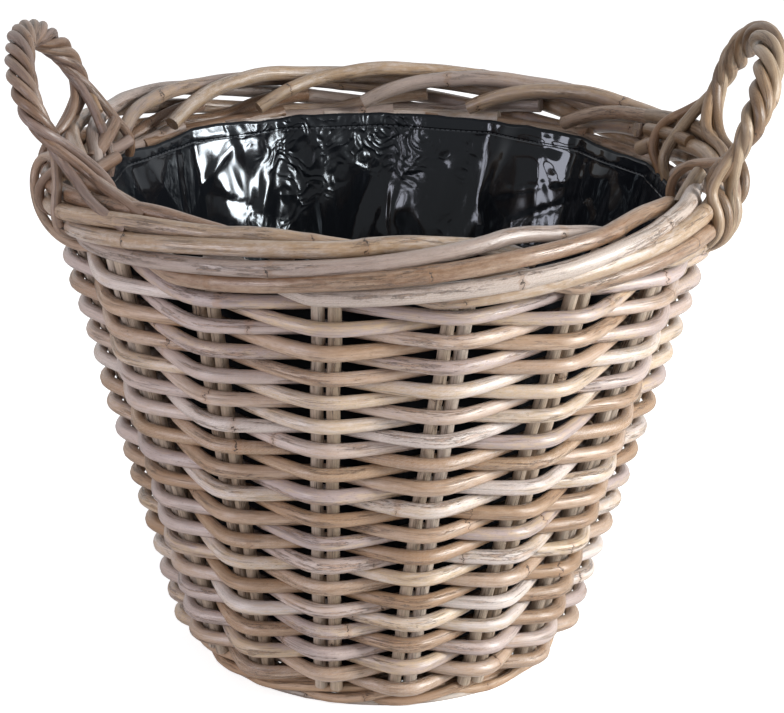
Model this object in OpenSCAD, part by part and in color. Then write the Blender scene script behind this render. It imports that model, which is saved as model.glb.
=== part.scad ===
// Round tapered basket of peeled cane: pairs of upright stakes, closed rounds of cane woven
// over and under them, a rolled rim, two rope-twisted ear handles, a woven base on a hoop,
// and a plastic liner inside. Sizes are in millimetres and the floor is at z = 0.

/* [Basket] */
// Diameter of the circle of stakes, measured where it would meet the floor
foot_d = 241; // [220:1:260]
// Diameter of the circle of stakes at the middle of the rim
rim_d = 429; // [410:1:450]
// Height of the middle of the rim above the floor
rim_h = 335; // [310:1:350]
// Number of stake pairs round the basket
pairs = 16; // [12:4:20]
// Angle from the front of the basket to the first stake pair, at the floor
first_pair_angle = -14.4; // [-22:0.1:22]
// Angle that each stake leans round the basket between the floor and the rim
stake_turn = 5.5; // [0:0.5:10]

/* [Wall canes] */
// Diameter of a stake
stake_d = 8.6; // [7.6:0.1:9.4]
// Gap between the two stakes of a pair
pair_gap = 1.6; // [0.6:0.1:3]
// Diameter of the cane woven round the stakes
rod_d = 8.6; // [7.6:0.1:9.4]
// Gap left between one woven round and the next
row_gap = 0.3; // [0.2:0.05:1]
// Length that a round runs straight past each side of a stake pair
rod_overrun = 3.4; // [3:0.1:5]

/* [Rim] */
// Diameter of a rim cane
rim_rod_d = 10.4; // [9:0.1:11.2]
// Radius that the rim canes wind round, from the middle of the rim
rim_wind_r = 14.5; // [13.5:0.1:16]
// Gap between neighbouring rim canes
rim_gap = 1; // [0.8:0.05:1.6]
// Angle from a stake pair to the start of its rim cane
rim_start_turn = 4.9; // [0:0.1:12]
// Lowest angle of a rim cane on the outside of the rim, below the level
rim_low_angle = -50; // [-55:1:-30]
// Angle at which a rim cane ends inside, past the level on the outside
rim_end_angle = 205; // [180:1:207]

/* [Handles] */
// Distance from the basket's axis to the left handle's feet, along X
left_seat_x = 194; // [190:0.5:200]
// Distance from the basket's axis to the right handle's feet, along X
right_seat_x = 214; // [208:0.5:218]
// Angle that the left handle leans out from upright
left_lean = 33; // [28:1:40]
// Angle that the right handle leans out from upright
right_lean = 23; // [16:1:28]
// Height of the middle of the left handle's top above the floor
left_top_z = 427; // [410:1:445]
// Height of the middle of the right handle's top above the floor
right_top_z = 433; // [410:1:445]
// Distance of the handles' middles towards the front
handle_forward = 25; // [0:1:30]
// Half the greatest width of a handle's arch, to the middle of a leg
handle_half_w = 78; // [66:1:84]
// Angle by which a handle's arch runs on below its widest place
handle_tuck = 32; // [10:1:36]
// Diameter of a handle strand
strand_d = 6.2; // [5.6:0.1:6.4]
// Diameter of the bow inside a handle
bow_d = 5.6; // [5.2:0.1:6.4]
// Length along the handle in which a strand goes once round it
strand_pitch = 62; // [56:1:80]
// Lowest angle of a strand's tail outside the rim, below the level
tail_low_angle = -62; // [-62:1:-30]
// Angle at which a strand's tail ends inside the rim
tail_end_angle = 208; // [180:1:208]

/* [Base] */
// Height of the hoop that the basket stands on
hoop_h = 4; // [3:0.1:4.6]
// Radial width of the hoop
hoop_w = 11.5; // [9:0.5:13]
// Diameter of a cane in the foot border's rope
foot_rod_d = 5.6; // [4.8:0.1:6]
// Turns that a cane of the foot border makes on its way round
foot_turns = 4; // [3:1:6]
// Diameter of a base stick
stick_d = 7; // [6:0.1:7.4]
// Diameter of the cane woven round the base sticks
base_rod_d = 5; // [4.4:0.1:5.4]
// Gap between neighbouring rounds of the base
base_gap = 1.2; // [0.8:0.1:3]
// Radius of the innermost round of the base
base_first_r = 48; // [46:1:56]
// Height of the base's underside above the floor
base_lift = 0.6; // [0.3:0.1:1.2]

/* [Liner] */
// Thickness of the liner
liner_t = 1; // [0.6:0.1:1.6]
// Depth of the liner's folds, halfway up the wall
fold_depth = 6; // [3:0.5:7]
// Depth of the liner's folds at its top edge
fold_top_depth = 2; // [1:0.5:4]
// Height of the liner's folded hem
hem_h = 16; // [8:1:24]
// Thickness of the liner's hem
hem_t = 1.8; // [1.2:0.1:2.4]

/* [Fits] */
// Gap between pieces that lie against each other
fit_gap = 0.3; // [0.2:0.05:0.4]

/* [Hidden] */
wall_angle = atan2((rim_d - foot_d) / 2, rim_h);
pair_step = 360 / pairs;
pair_half = (stake_d + pair_gap) / 2;
rod_flat = pair_half + rod_overrun;
weave_r = ((stake_d + rod_d) / 2 + fit_gap) / cos(wall_angle);
row_step = rod_d + row_gap;

foot_canes = 3;
foot_stations = 40;
foot_wind_r = (foot_rod_d + fit_gap) / (2 * sin(180 / foot_canes));
foot_rope_r = foot_wind_r + foot_rod_d / 2;
foot_z = hoop_h + fit_gap + foot_rope_r;
foot_top = foot_z + foot_rope_r;
foot_ring_r = foot_d / 2 - foot_rod_d / 2;
hoop_out_r = foot_ring_r + foot_rope_r;
hoop_in_r = hoop_out_r - hoop_w;

stake_dip = stake_d / 2 * sin(wall_angle);
stake_low_z = foot_top + fit_gap + stake_dip;
stake_top_z = rim_h + rim_wind_r - rim_rod_d / 2 - stake_dip - fit_gap;
first_row_z = foot_top + fit_gap + rod_d / 2;
rim_under_z = rim_h + rim_wind_r * sin(rim_low_angle) - rim_rod_d / 2;
course_pitch = 2 * row_step;
courses = 1 + floor((rim_under_z - row_gap - rod_d / 2 - first_row_z) / course_pitch);

rim_step = 360 * (rim_rod_d + rim_gap) / (2 * PI * rim_wind_r);
rim_sweep = (rim_end_angle - rim_low_angle) / rim_step * pair_step;
rim_stations = 18;

strands = 5;
strand_share = 360 / strands;
// Where each strand's tail lies beside the handle's foot, in tail widths, and which go outside
tail_places = [0, 1, 0.5, -0.5, -1];
tail_outside = [true, true, false, false, true];
tail_spacing = strand_d + 2 * fit_gap;
strand_wind_r = (bow_d + strand_d) / 2 + 2 * fit_gap;
tail_wind_r = rim_wind_r + (rim_rod_d + strand_d) / 2 + fit_gap;
handle_foot_z = rim_h + tail_wind_r + strand_d / 2;
arch_stations = 42;
tail_stations = 6;

base_amp = (stick_d + base_rod_d) / 2 + fit_gap;
stick_z = base_lift + base_rod_d / 2 + base_amp;
base_top = stick_z + base_amp + base_rod_d / 2;
stick_end_r = foot_ring_r - foot_rope_r - fit_gap;
sticks = pairs / 4;
stick_spacing = stick_d + 2 * fit_gap;
cross_half = sticks * stick_spacing / 2 + stick_d / 2;
base_step = base_rod_d + base_gap;
base_last_r = hoop_in_r - fit_gap - base_rod_d / 2;
base_rounds = 1 + floor((base_last_r - base_first_r) / base_step);
base_flat = stick_d / 2;
fan_r = base_first_r - base_rod_d;

liner_inset = weave_r + (rod_d / 2 + fit_gap) / cos(wall_angle);
liner_low_z = base_top + fit_gap;
liner_top_z = rim_h + tail_wind_r * sin(tail_end_angle) - strand_d / 2 - fit_gap;
liner_mid_z = (liner_low_z + liner_top_z) / 2;

round_sides = 5;
up = [0, 0, 1];

cane_colors = ["#a39284", "#b3a497", "#97887b", "#ab9883"];
stake_color = "#8d7f74";
rim_color = "#a8988b";
handle_color = "#94816f";
bow_color = "#7d6d5e";
foot_color = "#9a7650";
hoop_color = "#b4a698";
base_color = "#a18c76";
liner_color = "#17181b";

function two_digits(n) = str(n < 10 ? "0" : "", n);
COURSE_NODES = [for (c = [1:courses]) str("weave_course_", two_digits(c))];
STAKE_NODES = [for (p = [1:pairs]) str("stake_pair_", two_digits(p))];

// A point at radius r and height z, at an angle from the front (-Y) towards the right (+X)
function at(r, angle, z) = [r * sin(angle), -r * cos(angle), z];
// The angle that a length takes up on a circle of radius r
function arc_angle(length, r) = length / r * 180 / PI;
function unit(v) = v / norm(v);
// The part of v that is square to a direction, at unit length
function square_to(v, direction) = unit(v - (v * direction) * direction);

// Radius of the circle of stakes at height z
function stake_r(z) = foot_d / 2 + (rim_d - foot_d) / 2 * z / rim_h;
// Angle of stake pair p at height z
function pair_angle(p, z) = first_pair_angle + pair_step * p + stake_turn * z / rim_h;

// The direction of a path at station i, midway between the runs on its two sides
function heading(path, i, closed) =
    let (
        n = len(path),
        ahead = closed || i < n - 1 ? unit(path[(i + 1) % n] - path[i]) : [0, 0, 0],
        behind = closed || i > 0 ? unit(path[i] - path[(i + n - 1) % n]) : [0, 0, 0]
    )
    unit(ahead + behind);

// One sideways direction for each station, carried along the path without a twist
function side_directions(headings, first) = [
    for (i = 0, side = square_to(first, headings[0]);
        i < len(headings);
        i = i + 1, side = i < len(headings) ? square_to(side, headings[i]) : side)
        side
];

// The rings of points round a path that make a cane of diameter d
function cane_points(path, d, sides, closed, first) =
    let (
        headings = [for (i = [0:len(path) - 1]) heading(path, i, closed)],
        across = closed ? [for (h = headings) square_to(up, h)] : side_directions(headings, first)
    )
    [for (i = [0:len(path) - 1], k = [0:sides - 1])
        path[i] + d / 2 * (cos(360 * k / sides) * across[i]
            + sin(360 * k / sides) * cross(headings[i], across[i]))];

// The faces of one cane of n stations, whose points start at number start, clockwise from outside
function cane_faces(n, sides, closed, start) = concat(
    [for (i = [0:n - (closed ? 1 : 2)], k = [0:sides - 1])
        let (
            a = start + i * sides + k,
            b = start + i * sides + (k + 1) % sides,
            c = start + (i + 1) % n * sides + (k + 1) % sides,
            e = start + (i + 1) % n * sides + k
        )
        each [[a, c, b], [a, e, c]]],
    closed ? [] : [
        [for (k = [0:sides - 1]) start + k],
        [for (k = [sides - 1:-1:0]) start + (n - 1) * sides + k]
    ]
);

// Several canes, each a solid of its own, that follow paths with equal numbers of stations
module canes(paths, d, closed = false, first = up, sides = round_sides) {
    n = len(paths[0]);
    polyhedron(
        points = [for (path = paths) each cane_points(path, d, sides, closed, first)],
        faces = [for (p = [0:len(paths) - 1]) each cane_faces(n, sides, closed, p * n * sides)]
    );
}

// A straight round cane between two points
module straight_cane(low, high, d) {
    run = high - low;
    translate(low)
        rotate([0, acos(run[2] / norm(run)), atan2(run[1], run[0])])
            cylinder(h = norm(run), d = d, $fn = 48);
}

// The hoop of split cane under the basket's edge, flat side down
module foot_hoop() {
    color(hoop_color)
        rotate_extrude($fn = 96)
            translate([hoop_in_r, 0])
                square([hoop_w, hoop_h]);
}

// The rope of three canes round the basket's foot
module foot_border() {
    color(foot_color)
        canes([for (k = [0:foot_canes - 1])
            [for (i = [0:foot_stations - 1])
                let (turn = 360 * (k / foot_canes + foot_turns * i / foot_stations))
                at(foot_ring_r + foot_wind_r * cos(turn), 360 * i / foot_stations,
                    foot_z + foot_wind_r * sin(turn))]
        ], foot_rod_d, closed = true);
}

// One base stick: straight across the middle, then fanned out to its own spoke
function stick_path(s, layer) =
    let (
        offset = (s - (sticks - 1) / 2) * stick_spacing,
        spoke = (s - (sticks - 1) / 2) * pair_step,
        mid_z = stick_z + (layer - 0.5) * (stick_d + fit_gap),
        half = [
            [cross_half, offset, mid_z],
            [fan_r * cos(spoke), fan_r * sin(spoke), stick_z],
            [stick_end_r * cos(spoke), stick_end_r * sin(spoke), stick_z]
        ]
    )
    concat([for (i = [2:-1:0]) [-half[i][0], half[i][1], half[i][2]]], half);

// The crossed sticks of the base, with an end under every stake pair
module base_sticks() {
    turn = pair_angle(0, 0) + pair_step / 2 * (sticks + 1) - 90;
    color(base_color)
        for (layer = [0, 1])
            rotate([0, 0, turn + 90 * layer])
                canes([for (s = [0:sticks - 1]) stick_path(s, layer)], stick_d, sides = 8);
}

// A round of the base, over one spoke and under the next
function base_round_path(n) =
    let (r = base_first_r + n * base_step)
    [for (p = [0:pairs - 1], side = [-1, 1])
        at(r, pair_angle(p, 0) + side * arc_angle(base_flat, r),
            stick_z + ((p + n) % 2 == 0 ? base_amp : -base_amp))];

// The canes woven round the base sticks
module base_weave() {
    color(base_color)
        canes([for (n = [0:base_rounds - 1]) base_round_path(n)], base_rod_d, closed = true,
            sides = 4);
}

// A pair of stakes, from the foot border up into the hollow of the rim
module stake_pair(p) {
    color(stake_color)
        for (side = [-1, 1])
            straight_cane(
                at(stake_r(stake_low_z), pair_angle(p, stake_low_z)
                    + side * arc_angle(pair_half, stake_r(stake_low_z)), stake_low_z),
                at(stake_r(stake_top_z), pair_angle(p, stake_top_z)
                    + side * arc_angle(pair_half, stake_r(stake_top_z)), stake_top_z),
                stake_d
            );
}

// A woven round: outside one stake pair and inside the next
function row_path(row) =
    let (z = first_row_z + row * row_step, r = stake_r(z))
    [for (p = [0:pairs - 1], side = [-1, 1])
        at(r + ((p + row) % 2 == 0 ? -weave_r : weave_r),
            pair_angle(p, z) + side * arc_angle(rod_flat, r), z)];

// A course of the weave: one round at the bottom, then two that pass opposite sides of each stake
module weave_course(c) {
    color(cane_colors[c % len(cane_colors)])
        canes([for (row = [max(0, 2 * c - 1):2 * c]) row_path(row)], rod_d, closed = true);
}

// A rim cane: it climbs the outside of the rim, crosses its top and ends inside
function rim_path(p) = [
    for (i = [0:rim_stations])
        let (
            share = i / rim_stations,
            wind = rim_low_angle + (rim_end_angle - rim_low_angle) * share
        )
        at(stake_r(rim_h) + rim_wind_r * cos(wind),
            pair_angle(p, rim_h) + rim_start_turn + rim_sweep * share,
            rim_h + rim_wind_r * sin(wind))
];

// The rolled rim, with one cane for each stake pair
module rim_border() {
    color(rim_color)
        canes([for (p = [0:pairs - 1]) rim_path(p)], rim_rod_d);
}

// The left handle has side -1 and the right handle has side 1
function seat_x(side) = side < 0 ? left_seat_x : right_seat_x;
function lean(side) = side < 0 ? left_lean : right_lean;
function top_z(side) = side < 0 ? left_top_z : right_top_z;
// Height of the arch's top above its widest place
function arch_rise(side) = (top_z(side) - handle_foot_z) / (1 + sin(handle_tuck));

// The middle of a handle's arch at an angle t, from the front leg over to the back leg
function arch_point(side, t) =
    let (z = top_z(side) - arch_rise(side) * (1 - sin(t)))
    [
        side * (seat_x(side) + (z - handle_foot_z) * tan(lean(side))),
        -handle_forward - handle_half_w * cos(t),
        z
    ];

function arch_path(side) = [for (i = [0:arch_stations])
    arch_point(side, -handle_tuck + (180 + 2 * handle_tuck) * i / arch_stations)];

// How far a strand winds along a handle's path, as a whole number of its neighbours' places
function strand_twist(path) =
    let (
        runs = [for (i = [1:arch_stations]) norm(path[i] - path[i - 1])],
        length = runs * [for (run = runs) 1]
    )
    round(360 * length / strand_pitch / strand_share) * strand_share;

// The bow inside a handle
module handle_bow(side) {
    color(bow_color)
        canes([arch_path(side)], bow_d, first = [side, 0, 0], sides = 6);
}

// The direction across the arch at station i of its path, in the plane of the arch
function arch_across(side, path, i) =
    cross(heading(path, i, false), [side * cos(lean(side)), 0, -sin(lean(side))]);

// The part of a strand that winds round the bow
function strand_winding(side, path, s) = [
    for (i = [0:arch_stations])
        let (turn = strand_share * s - strand_twist(path) * i / arch_stations)
        path[i] + strand_wind_r * (cos(turn) * [side * cos(lean(side)), 0, -sin(lean(side))]
            + sin(turn) * arch_across(side, path, i))
];

// The tail of a strand in place k: from the foot of the arch round the outside or inside of the rim
function tail_path(point, foot, across, k) =
    let (
        rim_r = stake_r(rim_h),
        foot_angle = atan2(foot[0], -foot[1]),
        way = sign(across * [cos(foot_angle), sin(foot_angle), 0]),
        angle = foot_angle + way * tail_places[k] * arc_angle(tail_spacing, rim_r),
        reach = norm([point[0], point[1]]) - rim_r,
        from = acos(min(1, max(-1, reach / tail_wind_r))),
        turn = (tail_outside[k] ? tail_low_angle : tail_end_angle) - from,
        r = tail_wind_r / cos(turn / tail_stations / 2)
    )
    [for (i = [0:tail_stations])
        let (wind = from + turn * i / tail_stations)
        at(rim_r + r * cos(wind), angle, rim_h + r * sin(wind))];

// A whole strand: tail, winding and tail
function strand_path(side, s) =
    let (
        path = arch_path(side),
        end = arch_stations,
        winding = strand_winding(side, path, s),
        k = (s + (strands - 1) * strand_twist(path) / strand_share) % strands,
        front = tail_path(winding[0], path[0], arch_across(side, path, 0), s),
        back = tail_path(winding[end], path[end], arch_across(side, path, end), k)
    )
    concat([for (i = [tail_stations:-1:0]) front[i]], winding, back);

// The strands twisted round a handle's bow, with tails bound over the rim
module handle_strands(side) {
    color(handle_color)
        canes([for (s = [0:strands - 1]) strand_path(side, s)], strand_d, first = [side, 0, 0]);
}

// Outside radius of the liner at height z, where it is fixed to the wall
function liner_r(z) = stake_r(z) - liner_inset;
// Depth of the liner's folds at height z
function fold(z) = z < liner_mid_z
    ? fold_depth * (z - liner_low_z) / (liner_mid_z - liner_low_z)
    : fold_depth + (fold_top_depth - fold_depth) * (z - liner_mid_z) / (liner_top_z - liner_mid_z);

// A ring of the liner's points: on the wall at one place for each stake pair, folded in between
function liner_ring(z, inset) = [for (i = [0:2 * pairs - 1])
    at(liner_r(z) - inset - (i % 2 == 0 ? 0 : fold(z)), i * pair_step / 2, z)];

// The plastic liner: a tapered cup with upright folds and a thicker hem. Its two faces are split into
// triangles along the same slants, so that the film keeps its thickness.
module liner() {
    hem_z = liner_top_z - hem_h;
    rings = [
        liner_ring(liner_low_z, 0),
        liner_ring(liner_mid_z, 0),
        liner_ring(liner_top_z, 0),
        liner_ring(liner_top_z, hem_t),
        liner_ring(hem_z, hem_t),
        liner_ring(hem_z, liner_t),
        liner_ring(liner_mid_z, liner_t),
        liner_ring(liner_low_z + liner_t, liner_t)
    ];
    n = 2 * pairs;
    last = len(rings) - 1;
    color(liner_color)
        polyhedron(
            points = [for (ring = rings) each ring],
            faces = concat(
                [for (r = [0:last - 1], i = [0:n - 1])
                    let (
                        outside = rings[r + 1][0][2] > rings[r][0][2],
                        a = r * n + i,
                        b = r * n + (i + 1) % n,
                        c = (r + 1) * n + (i + 1) % n,
                        e = (r + 1) * n + i
                    )
                    each i % 2 == (outside ? 0 : 1) ? [[a, c, b], [a, e, c]] : [[a, e, b], [b, e, c]]],
                [[for (i = [0:n - 1]) i], [for (i = [n - 1:-1:0]) last * n + i]]
            )
        );
}

foot_hoop();
foot_border();
base_sticks();
base_weave();
for (p = [0:pairs - 1])
    stake_pair(p);
for (c = [0:courses - 1])
    weave_course(c);
rim_border();
handle_bow(-1);  // left_handle_bow
handle_strands(-1);  // left_handle_strands
handle_bow(1);  // right_handle_bow
handle_strands(1);  // right_handle_strands
liner();
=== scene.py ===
"""Looks of a round basket of grey cane with twisted ear handles and a black plastic liner.

Metres, +Z up, the floor at z = 0, the front towards -Y. Each section makes one piece of the basket,
in the order in which a basket maker adds them.
"""

import math
import random

import bmesh
import bpy
import numpy as np
from mathutils import Matrix, Vector, noise


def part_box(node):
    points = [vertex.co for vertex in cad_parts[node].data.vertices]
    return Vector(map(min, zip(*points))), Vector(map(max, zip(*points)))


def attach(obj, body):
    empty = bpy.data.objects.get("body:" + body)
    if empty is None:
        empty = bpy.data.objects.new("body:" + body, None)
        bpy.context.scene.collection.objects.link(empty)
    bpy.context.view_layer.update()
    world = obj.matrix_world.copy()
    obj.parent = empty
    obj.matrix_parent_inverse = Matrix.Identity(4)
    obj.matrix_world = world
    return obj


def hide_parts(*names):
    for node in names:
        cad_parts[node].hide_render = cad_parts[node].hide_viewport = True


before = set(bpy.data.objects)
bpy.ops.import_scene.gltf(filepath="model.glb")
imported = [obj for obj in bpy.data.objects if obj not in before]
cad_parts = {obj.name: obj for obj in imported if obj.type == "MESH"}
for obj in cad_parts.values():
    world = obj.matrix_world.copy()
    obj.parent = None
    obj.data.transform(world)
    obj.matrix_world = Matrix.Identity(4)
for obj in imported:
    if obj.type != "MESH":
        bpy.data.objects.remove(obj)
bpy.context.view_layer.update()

# ------------------------------------------------------------
# Foot hoop: a flat strip of split cane, bent round and scarfed into the ring that the basket
# stands on. It is bare, pale and scuffed, with its fibres running round the ring.

HOOP_NODE = "foot_hoop"
HOOP_W, HOOP_ROUND, HOOP_INSET = 0.0085, 0.0009, 0.0035
HOOP_CORNER_STEPS, HOOP_STATIONS = 3, 180
PROFILE_ROUNDS, CRISP_ANGLE = 4, 50
KNUCKLE_SWELL, KNUCKLE_W = 0.07, 0.0045
THICKNESS_WAVER, WAVER_RATE = 0.025, (18, 40)
CANE_RELIEF, CANE_SHINE, CANE_SHIFT = 0.00035, 0.68, 41.7


def sine(degrees):
    return math.sin(math.radians(degrees))


def cosine(degrees):
    return math.cos(math.radians(degrees))


def on_circle(radius, angle, z):
    """The point at an angle in degrees from the front towards the right."""
    return Vector((radius * sine(angle), -radius * cosine(angle), z))


def srgb(red, green, blue):
    """A colour given as a painter's 0 to 255 values, as the shader's linear values."""
    linear = [
        c / 12.92 if c <= 0.04045 else ((c + 0.055) / 1.055) ** 2.4
        for c in (red / 255, green / 255, blue / 255)
    ]
    return (*linear, 1.0)


def lengths_along(line):
    """How far along the line each of its points lies."""
    return np.concatenate([[0], np.cumsum(np.linalg.norm(np.diff(line, axis=0), axis=1))])


def smooth_path(points, spacing):
    """A smooth line through the points, as points that lie the given distance apart."""
    points = [Vector(p) for p in points]
    line = []
    for i, (b, c) in enumerate(zip(points, points[1:])):
        a = points[i - 1] if i else 2 * b - c
        d = points[i + 2] if i + 2 < len(points) else 2 * c - b
        steps = max(2, math.ceil((c - b).length / spacing * 2))
        for s in range(steps):
            t = s / steps
            line.append(
                0.5 * (2 * b + (c - a) * t + (2 * a - 5 * b + 4 * c - d) * t * t
                       + (3 * b - 3 * c + d - a) * t ** 3)
            )
    line = np.array(line + [points[-1]])
    reach = lengths_along(line)
    wanted = np.linspace(0, reach[-1], max(3, round(reach[-1] / spacing)) + 1)
    return np.stack([np.interp(wanted, reach, line[:, k]) for k in range(3)], axis=1)


def lay_cane(bm, points, radius, chance, closed=False, rounds=PROFILE_ROUNDS, upright=True,
             knuckle_gap=(0.16, 0.34), profile=None):
    """Adds one cane to bm along the points. Its UV map holds metres along and turns around it,
    and its attributes hold its own number, the distance to its nearest knuckle, and the same
    distance below 0 on the knuckle's near side."""
    points = np.array(points, float)
    count = len(points)
    reach = lengths_along(np.vstack([points, points[:1]]) if closed else points)
    knuckles = []
    at = chance.uniform(0, knuckle_gap[1])
    while at < reach[-1]:
        knuckles.append(at)
        at += chance.uniform(*knuckle_gap)
    away = np.array([min([abs(s - k) for k in knuckles], default=1.0) for s in reach[:count]])
    swell = 1 + KNUCKLE_SWELL * np.exp(-((away / KNUCKLE_W) ** 2))
    waver = 1 + THICKNESS_WAVER * np.sin(
        reach[:count] * chance.uniform(*WAVER_RATE) + chance.uniform(0, 6)
    )
    radii = np.broadcast_to(np.asarray(radius, float), count) * swell * waver

    curve = bpy.data.curves.new("cane", "CURVE")
    curve.dimensions = "3D"
    curve.twist_mode = "Z_UP" if upright else "MINIMUM"
    curve.use_fill_caps = True
    if profile:
        curve.bevel_mode = "OBJECT"
        curve.bevel_object = profile
    else:
        curve.bevel_depth = 1.0
        curve.bevel_resolution = rounds
    spline = curve.splines.new("POLY")
    spline.points.add(count - 1)
    spline.points.foreach_set("co", np.hstack([points, np.ones((count, 1))]).ravel())
    spline.points.foreach_set("radius", radii)
    spline.use_cyclic_u = closed
    holder = bpy.data.objects.new("cane", curve)
    bpy.context.scene.collection.objects.link(holder)
    mesh = bpy.data.meshes.new_from_object(
        holder.evaluated_get(bpy.context.evaluated_depsgraph_get())
    )
    bpy.data.objects.remove(holder)
    bpy.data.curves.remove(curve)

    runs = count if closed else count - 1
    uv = np.zeros(len(mesh.loops) * 2)
    mesh.uv_layers[0].data.foreach_get("uv", uv)
    uv = uv.reshape(-1, 2)
    uv[:, 0] = np.interp(uv[:, 0] * runs, np.arange(runs + 1), reach)
    mesh.uv_layers[0].data.foreach_set("uv", uv.ravel())
    loop_points = np.zeros(len(mesh.loops), int)
    mesh.loops.foreach_get("vertex_index", loop_points)
    along = np.zeros(len(mesh.vertices))
    along[loop_points] = uv[:, 0]
    gaps = np.array([min([s - k for k in knuckles], key=abs, default=1.0) for s in along])
    for name, values in (("knuckle", np.abs(gaps)), ("past_knuckle", gaps),
                         ("cane_number", np.full(len(gaps), chance.random()))):
        mesh.attributes.new(name, "FLOAT", "POINT").data.foreach_set("value", values)
    bm.from_mesh(mesh)
    bpy.data.meshes.remove(mesh)


def add_object(bm, name, material):
    """Turns bm into an object of the scene, all in one material."""
    mesh = bpy.data.meshes.new(name)
    bm.to_mesh(mesh)
    bm.free()
    mesh.materials.append(material)
    made = bpy.data.objects.new(name, mesh)
    bpy.context.scene.collection.objects.link(made)
    return made


def finish_canes(bm, name, *nodes, slot, material):
    """Makes bm the piece that stands for these nodes, with its cut ends kept crisp."""
    bmesh.ops.remove_doubles(bm, verts=bm.verts, dist=1e-6)
    for face in bm.faces:
        face.smooth = True
    for edge in bm.edges:
        if len(edge.link_faces) == 2 and edge.calc_face_angle(0) > math.radians(CRISP_ANGLE):
            edge.smooth = False
    piece = add_object(bm, name, material)
    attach(piece, "root")
    if nodes:
        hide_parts(*nodes)


def place(tree, kind, values=None, **settings):
    """Adds a shader node, with its settings, and its inputs linked or set."""
    made = tree.nodes.new(kind)
    for key, value in settings.items():
        setattr(made, key, value)
    for key, value in (values or {}).items():
        if isinstance(value, bpy.types.NodeSocket):
            tree.links.new(value, made.inputs[key])
        else:
            made.inputs[key].default_value = value
    return made


def calc(tree, operation, first, second=0.0, third=0.0, clamp=False):
    """The result of one sum in a shader, whose terms are numbers or sockets."""
    values = {0: first, 1: second}
    if operation == "MULTIPLY_ADD":
        values[2] = third
    return place(tree, "ShaderNodeMath", values, operation=operation, use_clamp=clamp).outputs[0]


def fade(tree, value, start, end, low=0.0, high=1.0):
    """The value turned smoothly from low at start to high at end."""
    return place(
        tree, "ShaderNodeMapRange",
        {"Value": value, "From Min": start, "From Max": end, "To Min": low, "To Max": high},
        interpolation_type="SMOOTHSTEP",
    ).outputs["Result"]


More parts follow.
